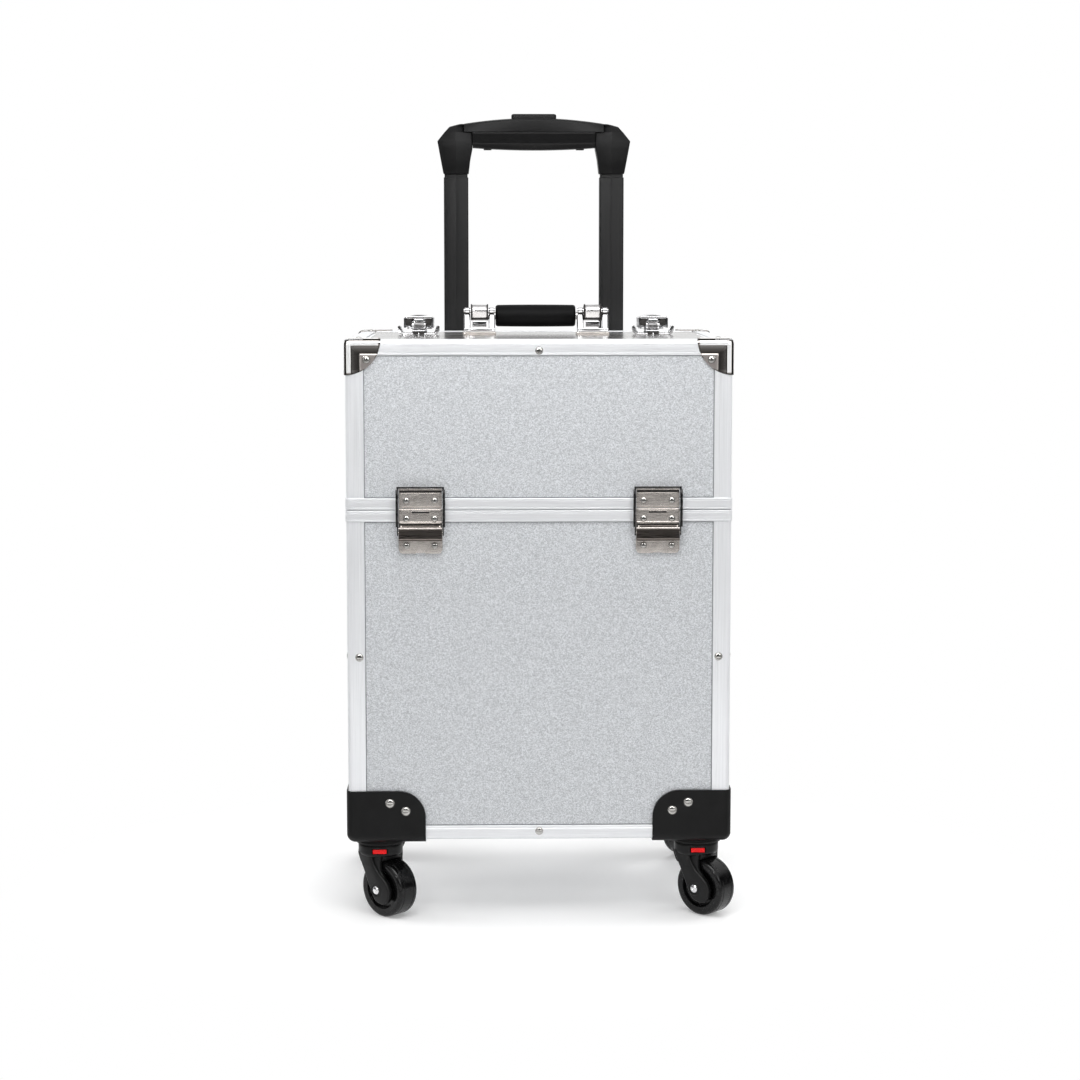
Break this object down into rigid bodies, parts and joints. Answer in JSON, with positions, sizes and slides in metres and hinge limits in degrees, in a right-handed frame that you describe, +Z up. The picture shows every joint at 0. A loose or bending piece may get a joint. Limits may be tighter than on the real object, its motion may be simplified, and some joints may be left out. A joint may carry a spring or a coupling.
{
  "type": "rolling makeup case",
  "caption": "Silver rolling makeup case with a lift-off upper case, flap lid, carry handle, draw latches, telescopic trolley handle and swivel casters.",
  "frame": {"origin": "on the floor under the middle of the whole part's box", "axes": "+Z up, -Y out of the front face with the draw latches, +X to the right seen from the front"},
  "size_m": [0.3502, 0.288, 0.732],
  "materials": {
    "silver_board": "board under a silver-grey covering with a fine grain",
    "satin_aluminium": "satin",
    "polished_nickel": "polished",
    "chrome_steel": "polished",
    "black_steel": "satin",
    "black_tube": "black anodised",
    "black_plastic": "moulded",
    "black_wheel": "moulded with a softer tread",
    "grip_rubber": "soft",
    "red_plastic": "moulded"
  },
  "bodies": {
    "lower_bin": {"lower_front_panel": "silver_board", "lower_rear_panel": "silver_board", "lower_side_panels": "silver_board", "lower_floor_panel": "silver_board", "lower_posts": "satin_aluminium", "lower_base_rails": "satin_aluminium", "lower_rim": "satin_aluminium", "corner_guards": "black_plastic", "caster_collars": "black_plastic", "lower_rivets": "chrome_steel", "latch_bases": "polished_nickel", "trolley_outer_tubes": "black_tube", "trolley_clamps": "black_steel"},
    "trolley_middle": {"trolley_middle_tubes": "black_tube"},
    "trolley_inner": {"trolley_inner_tubes": "black_tube", "grip_lower_shell": "black_plastic", "grip_upper_shell": "black_plastic", "grip_sockets": "black_plastic"},
    "trolley_button": {"trolley_button": "black_plastic"},
    "upper_case": {"upper_front_panel": "silver_board", "upper_rear_panel": "silver_board", "upper_side_panels": "silver_board", "upper_floor_panel": "silver_board", "upper_posts": "satin_aluminium", "upper_top_rails": "satin_aluminium", "upper_rim": "satin_aluminium", "corner_protectors": "polished_nickel", "upper_rivets": "chrome_steel", "rear_deck": "silver_board", "latch_catches": "polished_nickel", "top_catches": "chrome_steel", "lid_hinge": "satin_aluminium"},
    "lid": {"lid_panel": "silver_board", "lid_edging": "satin_aluminium", "handle_brackets": "chrome_steel", "top_latch_bases": "chrome_steel"},
    "carry_handle": {"handle_bail": "chrome_steel", "handle_grip": "grip_rubber"},
    "latch_lever_left": {"latch_lever_left": "polished_nickel"},
    "latch_bail_left": {"latch_bail_left": "black_steel"},
    "top_lever_left": {"top_lever_left": "chrome_steel"},
    "latch_lever_right": {"latch_lever_right": "polished_nickel"},
    "latch_bail_right": {"latch_bail_right": "black_steel"},
    "top_lever_right": {"top_lever_right": "chrome_steel"},
    "caster_front_left": {"fork_front_left": "black_plastic", "axle_front_left": "chrome_steel"},
    "wheel_front_left": {"wheel_front_left": "black_wheel"},
    "release_front_left": {"release_front_left": "red_plastic"},
    "caster_front_right": {"fork_front_right": "black_plastic", "axle_front_right": "chrome_steel"},
    "wheel_front_right": {"wheel_front_right": "black_wheel"},
    "release_front_right": {"release_front_right": "red_plastic"},
    "caster_rear_left": {"fork_rear_left": "black_plastic", "axle_rear_left": "chrome_steel"},
    "wheel_rear_left": {"wheel_rear_left": "black_wheel"},
    "release_rear_left": {"release_rear_left": "red_plastic"},
    "caster_rear_right": {"fork_rear_right": "black_plastic", "axle_rear_right": "chrome_steel"},
    "wheel_rear_right": {"wheel_rear_right": "black_wheel"},
    "release_rear_right": {"release_rear_right": "red_plastic"}
  },
  "joints": [
    {"name": "upper_case_lift", "type": "slide", "parent": "lower_bin", "child": "upper_case", "axis": [0, 0, 1], "range_m": [0, 0.2]},
    {"name": "lid_flap", "type": "hinge", "parent": "upper_case", "child": "lid", "pos_m": [0, -0.1163, 0.5172], "axis": [1, 0, 0], "range_deg": [0, 90]},
    {"name": "carry_handle_fold", "type": "hinge", "parent": "lid", "child": "carry_handle", "pos_m": [0, 0.0162, 0.5418], "axis": [1, 0, 0], "range_deg": [0, 100]},
    {"name": "trolley_middle_slide", "type": "slide", "parent": "lower_bin", "child": "trolley_middle", "axis": [0, 0, 1], "range_m": [0, 0.2]},
    {"name": "trolley_inner_slide", "type": "slide", "parent": "trolley_middle", "child": "trolley_inner", "axis": [0, 0, 1], "range_m": [-0.15, 0.065]},
    {"name": "trolley_button_press", "type": "slide", "parent": "trolley_inner", "child": "trolley_button", "axis": [0, 0, -1], "range_m": [0, 0.004], "stiffness_N_per_m": 800, "springref_m": -0.002},
    {"name": "latch_lever_left_swing", "type": "hinge", "parent": "lower_bin", "child": "latch_lever_left", "pos_m": [-0.1045, -0.1381, 0.3555], "axis": [-1, 0, 0], "range_deg": [0, 110]},
    {"name": "latch_bail_left_swing", "type": "hinge", "parent": "latch_lever_left", "child": "latch_bail_left", "pos_m": [-0.1045, -0.1388, 0.35], "axis": [1, 0, 0], "range_deg": [0, 143.5]},
    {"name": "top_lever_left_swing", "type": "hinge", "parent": "lid", "child": "top_lever_left", "pos_m": [-0.11, 0.0192, 0.5288], "axis": [1, 0, 0], "range_deg": [0, 75]},
    {"name": "latch_lever_right_swing", "type": "hinge", "parent": "lower_bin", "child": "latch_lever_right", "pos_m": [0.1045, -0.1381, 0.3555], "axis": [-1, 0, 0], "range_deg": [0, 110]},
    {"name": "latch_bail_right_swing", "type": "hinge", "parent": "latch_lever_right", "child": "latch_bail_right", "pos_m": [0.1045, -0.1388, 0.35], "axis": [1, 0, 0], "range_deg": [0, 143.5]},
    {"name": "top_lever_right_swing", "type": "hinge", "parent": "lid", "child": "top_lever_right", "pos_m": [0.11, 0.0192, 0.5288], "axis": [1, 0, 0], "range_deg": [0, 75]},
    {"name": "caster_front_left_swivel", "type": "hinge", "parent": "lower_bin", "child": "caster_front_left", "pos_m": [-0.143, -0.1048, 0.06], "axis": [0, 0, 1], "continuous": true},
    {"name": "wheel_front_left_spin", "type": "hinge", "parent": "caster_front_left", "child": "wheel_front_left", "pos_m": [-0.13473, -0.11279, 0.0255], "axis": [0.6947, 0.7193, 0], "continuous": true},
    {"name": "release_front_left_press", "type": "slide", "parent": "caster_front_left", "child": "release_front_left", "axis": [0, 1, 0], "range_m": [0, 0.0015], "stiffness_N_per_m": 1500, "springref_m": -0.0007},
    {"name": "caster_front_right_swivel", "type": "hinge", "parent": "lower_bin", "child": "caster_front_right", "pos_m": [0.143, -0.1048, 0.06], "axis": [0, 0, 1], "continuous": true},
    {"name": "wheel_front_right_spin", "type": "hinge", "parent": "caster_front_right", "child": "wheel_front_right", "pos_m": [0.15127, -0.11279, 0.0255], "axis": [0.6947, 0.7193, 0], "continuous": true},
    {"name": "release_front_right_press", "type": "slide", "parent": "caster_front_right", "child": "release_front_right", "axis": [0, 1, 0], "range_m": [0, 0.0015], "stiffness_N_per_m": 1500, "springref_m": -0.0007},
    {"name": "caster_rear_left_swivel", "type": "hinge", "parent": "lower_bin", "child": "caster_rear_left", "pos_m": [-0.143, 0.0872, 0.06], "axis": [0, 0, 1], "continuous": true},
    {"name": "wheel_rear_left_spin", "type": "hinge", "parent": "caster_rear_left", "child": "wheel_rear_left", "pos_m": [-0.15127, 0.09519, 0.0255], "axis": [-0.6947, -0.7193, 0], "continuous": true},
    {"name": "release_rear_left_press", "type": "slide", "parent": "caster_rear_left", "child": "release_rear_left", "axis": [0, -1, 0], "range_m": [0, 0.0015], "stiffness_N_per_m": 1500, "springref_m": -0.0007},
    {"name": "caster_rear_right_swivel", "type": "hinge", "parent": "lower_bin", "child": "caster_rear_right", "pos_m": [0.143, 0.0872, 0.06], "axis": [0, 0, 1], "continuous": true},
    {"name": "wheel_rear_right_spin", "type": "hinge", "parent": "caster_rear_right", "child": "wheel_rear_right", "pos_m": [0.15127, 0.09519, 0.0255], "axis": [-0.6947, 0.7193, 0], "continuous": true},
    {"name": "release_rear_right_press", "type": "slide", "parent": "caster_rear_right", "child": "release_rear_right", "axis": [-0.9994, 0.0349, 0], "range_m": [0, 0.0015], "stiffness_N_per_m": 1500, "springref_m": -0.0007}
  ],
  "couplings": [
    {"joint": "latch_bail_left_swing", "follows": "latch_lever_left_swing", "ratio": 1.3},
    {"joint": "latch_bail_right_swing", "follows": "latch_lever_right_swing", "ratio": 1.3}
  ]
}
